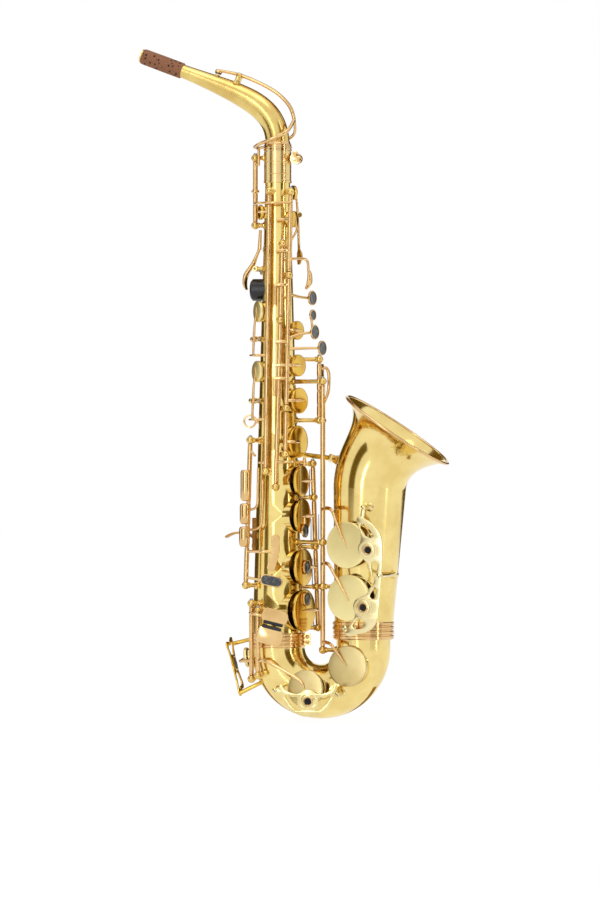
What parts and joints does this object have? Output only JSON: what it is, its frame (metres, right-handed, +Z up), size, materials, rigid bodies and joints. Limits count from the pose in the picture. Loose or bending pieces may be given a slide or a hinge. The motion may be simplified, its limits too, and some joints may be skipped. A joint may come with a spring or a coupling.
{
  "type": "alto saxophone",
  "caption": "Curved brass woodwind with a conical body, U-shaped bow, upturned flared bell, bent neck with a cork for a mouthpiece, and hinged padded keys on posts.",
  "frame": {"origin": "centre of the strap ring's hole on the back of the body tube", "axes": "+Z up along the body tube towards the neck, +X from the body tube towards the bell, +Y to the player's left side, away from the bell key guard"},
  "size_m": [0.3157, 0.123, 0.672],
  "materials": {
    "lacquered_brass": "clear gold lacquer over polished brass",
    "rose_brass": "clear lacquer over rose brass",
    "pale_brass": "satin pale brass",
    "steel": "polished steel",
    "blued_steel": "blued spring steel",
    "black_resin": "polished black resin",
    "black_felt": "matte black felt",
    "cork": "natural cork, waxed"
  },
  "bodies": {
    "body": {"body_tube": "lacquered_brass", "neck_receiver": "lacquered_brass", "bow": "lacquered_brass", "bell_tube": "lacquered_brass", "bell_flare": "lacquered_brass", "bell_rim_wire": "rose_brass", "body_bow_ring": "rose_brass", "bell_bow_ring": "rose_brass", "bell_brace": "lacquered_brass", "key_posts": "lacquered_brass", "hinge_rods": "steel", "needle_springs": "blued_steel", "strap_ring": "rose_brass", "thumb_rest": "black_resin", "thumb_hook": "rose_brass", "bell_key_guard": "pale_brass", "bow_key_guard": "pale_brass", "eb_key_guard": "lacquered_brass", "guard_bumpers": "black_felt"},
    "neck": {"neck_tube": "lacquered_brass", "neck_tenon": "pale_brass", "neck_cork": "cork", "neck_saddle": "lacquered_brass"},
    "neck_octave_key": {"neck_octave_key": "lacquered_brass"},
    "neck_screw": {"neck_screw": "rose_brass"},
    "octave_lever": {"octave_lever": "rose_brass"},
    "octave_rocker": {"octave_rocker": "rose_brass"},
    "high_e_key": {"high_e_key": "rose_brass"},
    "side_e_touch": {"side_e_touch": "rose_brass"},
    "side_c_touch": {"side_c_touch": "rose_brass"},
    "side_c_lever": {"side_c_lever": "rose_brass"},
    "side_c_key": {"side_c_key": "lacquered_brass"},
    "side_bb_touch": {"side_bb_touch": "rose_brass"},
    "fs_trill_touch": {"fs_trill_touch": "rose_brass"},
    "side_bb_lever": {"side_bb_lever": "rose_brass"},
    "side_bb_key": {"side_bb_key": "lacquered_brass"},
    "high_fs_key": {"high_fs_key": "lacquered_brass"},
    "alt_fs_key": {"alt_fs_key": "rose_brass"},
    "front_f_key": {"front_f_key": "rose_brass"},
    "b_key": {"b_key": "lacquered_brass"},
    "c_key": {"c_key": "lacquered_brass"},
    "a_key": {"a_key": "lacquered_brass"},
    "g_key": {"g_key": "lacquered_brass"},
    "gs_key": {"gs_key": "lacquered_brass"},
    "fs_key": {"fs_key": "lacquered_brass"},
    "f_key": {"f_key": "lacquered_brass"},
    "e_key": {"e_key": "lacquered_brass"},
    "d_key": {"d_key": "lacquered_brass"},
    "low_eb_key": {"low_eb_key": "lacquered_brass"},
    "low_c_key": {"low_c_key": "lacquered_brass"},
    "low_cs_key": {"low_cs_key": "lacquered_brass"},
    "low_b_key": {"low_b_key": "lacquered_brass"},
    "low_bb_key": {"low_bb_key": "lacquered_brass"},
    "palm_d_key": {"palm_d_key": "lacquered_brass"},
    "palm_eb_key": {"palm_eb_key": "lacquered_brass"},
    "palm_f_key": {"palm_f_key": "lacquered_brass"},
    "gs_touch": {"gs_touch": "lacquered_brass"},
    "cs_touch": {"cs_touch": "lacquered_brass"},
    "b_touch": {"b_touch": "lacquered_brass"},
    "bb_touch": {"bb_touch": "lacquered_brass"}
  },
  "joints": [
    {"name": "neck_swivel", "type": "hinge", "parent": "body", "child": "neck", "pos_m": [0.02843, 0, 0.2635], "axis": [0, 0, 1], "range_deg": [-40, 40]},
    {"name": "neck_octave_rock", "type": "hinge", "parent": "neck", "child": "neck_octave_key", "pos_m": [-0.0103, 0, 0.34636], "axis": [0, 1, 0], "range_deg": [0, 3], "stiffness_Nm_per_rad": 0.3, "springref_deg": -6.88},
    {"name": "neck_screw_turn", "type": "hinge", "parent": "body", "child": "neck_screw", "pos_m": [0.04753, 0, 0.2623], "axis": [0, 1, 0], "continuous": true},
    {"name": "octave_lever_rock", "type": "hinge", "parent": "body", "child": "octave_lever", "pos_m": [0.00711, 0, 0.1525], "axis": [0, 1, 0], "range_deg": [-6, 0], "stiffness_Nm_per_rad": 0.3, "springref_deg": 6.88},
    {"name": "octave_rocker_turn", "type": "hinge", "parent": "body", "child": "octave_rocker", "pos_m": [0.00553, 0, 0.1961], "axis": [0, 0, 1], "range_deg": [-6, 0], "stiffness_Nm_per_rad": 0.3, "springref_deg": 6.88},
    {"name": "side_e_press", "type": "hinge", "parent": "body", "child": "side_e_touch", "pos_m": [0.00052, -0.02103, -0.1635], "axis": [0.0275, 0.0207, 0.9994], "range_deg": [-8, 0], "stiffness_Nm_per_rad": 0.3, "springref_deg": 6.88},
    {"name": "side_c_press", "type": "hinge", "parent": "body", "child": "side_c_touch", "pos_m": [0.00052, -0.02103, -0.1635], "axis": [0.0275, 0.0207, 0.9994], "range_deg": [-8, 0], "stiffness_Nm_per_rad": 0.3, "springref_deg": 6.88},
    {"name": "side_bb_press", "type": "hinge", "parent": "body", "child": "side_bb_touch", "pos_m": [0.00052, -0.02103, -0.1635], "axis": [0.0275, 0.0207, 0.9994], "range_deg": [-8, 0], "stiffness_Nm_per_rad": 0.3, "springref_deg": 6.88},
    {"name": "fs_trill_press", "type": "hinge", "parent": "body", "child": "fs_trill_touch", "pos_m": [0.00052, -0.02103, -0.1635], "axis": [0.0275, 0.0207, 0.9994], "range_deg": [0, 6], "stiffness_Nm_per_rad": 0.3, "springref_deg": -6.88},
    {"name": "high_e_turn", "type": "hinge", "parent": "body", "child": "high_e_key", "pos_m": [0.02166, -0.02525, -0.05], "axis": [0.0073, 0.0273, 0.9996], "range_deg": [0, 8], "stiffness_Nm_per_rad": 0.3, "springref_deg": -6.88},
    {"name": "side_c_lever_turn", "type": "hinge", "parent": "body", "child": "side_c_lever", "pos_m": [0.02166, -0.02525, -0.05], "axis": [0.0073, 0.0273, 0.9996], "range_deg": [-8, 0], "stiffness_Nm_per_rad": 0.3, "springref_deg": 6.88},
    {"name": "side_bb_lever_turn", "type": "hinge", "parent": "body", "child": "side_bb_lever", "pos_m": [0.02166, -0.02525, -0.05], "axis": [0.0073, 0.0273, 0.9996], "range_deg": [-8, 0], "stiffness_Nm_per_rad": 0.3, "springref_deg": 6.88},
    {"name": "side_c_rock", "type": "hinge", "parent": "body", "child": "side_c_key", "pos_m": [0.0091, -0.01304, 0.082], "axis": [0.5592, -0.829, 0], "range_deg": [0, 8], "stiffness_Nm_per_rad": 0.3, "springref_deg": -6.88},
    {"name": "side_bb_rock", "type": "hinge", "parent": "body", "child": "side_bb_key", "pos_m": [0.00869, -0.01542, 0.0205], "axis": [0.6157, -0.788, 0], "range_deg": [0, 8], "stiffness_Nm_per_rad": 0.3, "springref_deg": -6.88},
    {"name": "palm_d_rock", "type": "hinge", "parent": "body", "child": "palm_d_key", "pos_m": [0.01677, 0.01795, 0.1495], "axis": [-0.8387, -0.5446, 0], "range_deg": [0, 6.5], "stiffness_Nm_per_rad": 0.3, "springref_deg": -6.88},
    {"name": "palm_eb_rock", "type": "hinge", "parent": "body", "child": "palm_eb_key", "pos_m": [0.03121, 0.01983, 0.1985], "axis": [-0.9903, 0.1392, 0], "range_deg": [0, 6.5], "stiffness_Nm_per_rad": 0.3, "springref_deg": -6.88},
    {"name": "palm_f_rock", "type": "hinge", "parent": "body", "child": "palm_f_key", "pos_m": [0.04424, 0.01192, 0.2065], "axis": [-0.6018, 0.7986, 0], "range_deg": [0, 6.5], "stiffness_Nm_per_rad": 0.3, "springref_deg": -6.88},
    {"name": "high_fs_turn", "type": "hinge", "parent": "body", "child": "high_fs_key", "pos_m": [0.03218, -0.02671, -0.0655], "axis": [0.0204, 0.0399, 0.999], "range_deg": [-8, 0], "stiffness_Nm_per_rad": 0.3, "springref_deg": 6.88},
    {"name": "alt_fs_turn", "type": "hinge", "parent": "body", "child": "alt_fs_key", "pos_m": [0.03218, -0.02671, -0.0655], "axis": [0.0204, 0.0399, 0.999], "range_deg": [-8, 0], "stiffness_Nm_per_rad": 0.3, "springref_deg": 6.88},
    {"name": "front_f_press", "type": "hinge", "parent": "body", "child": "front_f_key", "pos_m": [0.0416, -0.02478, -0.0331], "axis": [0.0152, 0.0269, 0.9995], "range_deg": [0, 7], "stiffness_Nm_per_rad": 0.3, "springref_deg": -6.88},
    {"name": "b_press", "type": "hinge", "parent": "body", "child": "b_key", "pos_m": [0.0416, -0.02478, -0.0331], "axis": [0.0152, 0.0269, 0.9995], "range_deg": [0, 7], "stiffness_Nm_per_rad": 0.3, "springref_deg": -6.88},
    {"name": "c_press", "type": "hinge", "parent": "body", "child": "c_key", "pos_m": [0.0416, -0.02478, -0.0331], "axis": [0.0152, 0.0269, 0.9995], "range_deg": [0, 7], "stiffness_Nm_per_rad": 0.3, "springref_deg": -6.88},
    {"name": "a_press", "type": "hinge", "parent": "body", "child": "a_key", "pos_m": [0.0416, -0.02478, -0.0331], "axis": [0.0152, 0.0269, 0.9995], "range_deg": [0, 7], "stiffness_Nm_per_rad": 0.3, "springref_deg": -6.88},
    {"name": "g_press", "type": "hinge", "parent": "body", "child": "g_key", "pos_m": [0.0416, -0.02478, -0.0331], "axis": [0.0152, 0.0269, 0.9995], "range_deg": [0, 7], "stiffness_Nm_per_rad": 0.3, "springref_deg": -6.88},
    {"name": "gs_turn", "type": "hinge", "parent": "body", "child": "gs_key", "pos_m": [0.0416, -0.02478, -0.0331], "axis": [0.0152, 0.0269, 0.9995], "range_deg": [-7, 0], "stiffness_Nm_per_rad": 0.3, "springref_deg": 6.88},
    {"name": "fs_press", "type": "hinge", "parent": "body", "child": "fs_key", "pos_m": [0.067, 0.01253, -0.2065], "axis": [-0.0283, -0.021, 0.9994], "range_deg": [-7, 0], "stiffness_Nm_per_rad": 0.3, "springref_deg": 6.88},
    {"name": "f_press", "type": "hinge", "parent": "body", "child": "f_key", "pos_m": [0.067, 0.01253, -0.2065], "axis": [-0.0283, -0.021, 0.9994], "range_deg": [-7, 0], "stiffness_Nm_per_rad": 0.3, "springref_deg": 6.88},
    {"name": "e_press", "type": "hinge", "parent": "body", "child": "e_key", "pos_m": [0.067, 0.01253, -0.2065], "axis": [-0.0283, -0.021, 0.9994], "range_deg": [-7, 0], "stiffness_Nm_per_rad": 0.3, "springref_deg": 6.88},
    {"name": "d_press", "type": "hinge", "parent": "body", "child": "d_key", "pos_m": [0.067, 0.01253, -0.2065], "axis": [-0.0283, -0.021, 0.9994], "range_deg": [-7, 0], "stiffness_Nm_per_rad": 0.3, "springref_deg": 6.88},
    {"name": "low_eb_press", "type": "hinge", "parent": "body", "child": "low_eb_key", "pos_m": [0.00723, -0.0253, -0.2565], "axis": [0, 0, 1], "range_deg": [0, 6.5], "stiffness_Nm_per_rad": 0.3, "springref_deg": -6.88},
    {"name": "low_c_press", "type": "hinge", "parent": "body", "child": "low_c_key", "pos_m": [0.01503, -0.0308, -0.2525], "axis": [0, 0, 1], "range_deg": [0, 9], "stiffness_Nm_per_rad": 0.3, "springref_deg": -6.88},
    {"name": "low_b_turn", "type": "hinge", "parent": "body", "child": "low_b_key", "pos_m": [0.07693, -0.012, -0.2275], "axis": [0, 0, 1], "range_deg": [0, 9], "stiffness_Nm_per_rad": 0.3, "springref_deg": -6.88},
    {"name": "low_bb_turn", "type": "hinge", "parent": "body", "child": "low_bb_key", "pos_m": [0.07693, -0.012, -0.2275], "axis": [0, 0, 1], "range_deg": [0, 9], "stiffness_Nm_per_rad": 0.3, "springref_deg": -6.88},
    {"name": "low_cs_turn", "type": "hinge", "parent": "body", "child": "low_cs_key", "pos_m": [0.07693, -0.012, -0.2275], "axis": [0, 0, 1], "range_deg": [-9, 0], "stiffness_Nm_per_rad": 0.3, "springref_deg": 6.88},
    {"name": "gs_touch_press", "type": "hinge", "parent": "body", "child": "gs_touch", "pos_m": [0.06789, 0.01436, 0.001], "axis": [0, 0, 1], "range_deg": [-8, 0], "stiffness_Nm_per_rad": 0.3, "springref_deg": 6.88},
    {"name": "cs_touch_press", "type": "hinge", "parent": "body", "child": "cs_touch", "pos_m": [0.06789, 0.01436, 0.001], "axis": [0, 0, 1], "range_deg": [-8, 0], "stiffness_Nm_per_rad": 0.3, "springref_deg": 6.88},
    {"name": "b_touch_press", "type": "hinge", "parent": "body", "child": "b_touch", "pos_m": [0.06789, 0.01436, 0.001], "axis": [0, 0, 1], "range_deg": [-8, 0], "stiffness_Nm_per_rad": 0.3, "springref_deg": 6.88},
    {"name": "bb_touch_press", "type": "hinge", "parent": "body", "child": "bb_touch", "pos_m": [0.06789, 0.01436, 0.001], "axis": [0, 0, 1], "range_deg": [-8, 0], "stiffness_Nm_per_rad": 0.3, "springref_deg": 6.88}
  ],
  "couplings": [
    {"joint": "neck_octave_rock", "follows": "octave_lever_rock", "ratio": -0.5},
    {"joint": "octave_rocker_turn", "follows": "octave_lever_rock", "ratio": 1},
    {"joint": "high_e_turn", "follows": "side_e_press", "ratio": -1},
    {"joint": "side_c_lever_turn", "follows": "side_c_press", "ratio": 1},
    {"joint": "side_c_rock", "follows": "side_c_press", "ratio": -1},
    {"joint": "side_bb_lever_turn", "follows": "side_bb_press", "ratio": 1},
    {"joint": "side_bb_rock", "follows": "side_bb_press", "ratio": -1},
    {"joint": "alt_fs_turn", "follows": "fs_trill_press", "ratio": -1.3},
    {"joint": "g_press", "follows": "a_press", "ratio": 0.9},
    {"joint": "fs_press", "follows": "f_press", "ratio": 1},
    {"joint": "gs_turn", "follows": "gs_touch_press", "ratio": 0.875},
    {"joint": "low_b_turn", "follows": "b_touch_press", "ratio": -1.125},
    {"joint": "low_bb_turn", "follows": "bb_touch_press", "ratio": -1.125},
    {"joint": "low_cs_turn", "follows": "cs_touch_press", "ratio": 1.125}
  ]
}
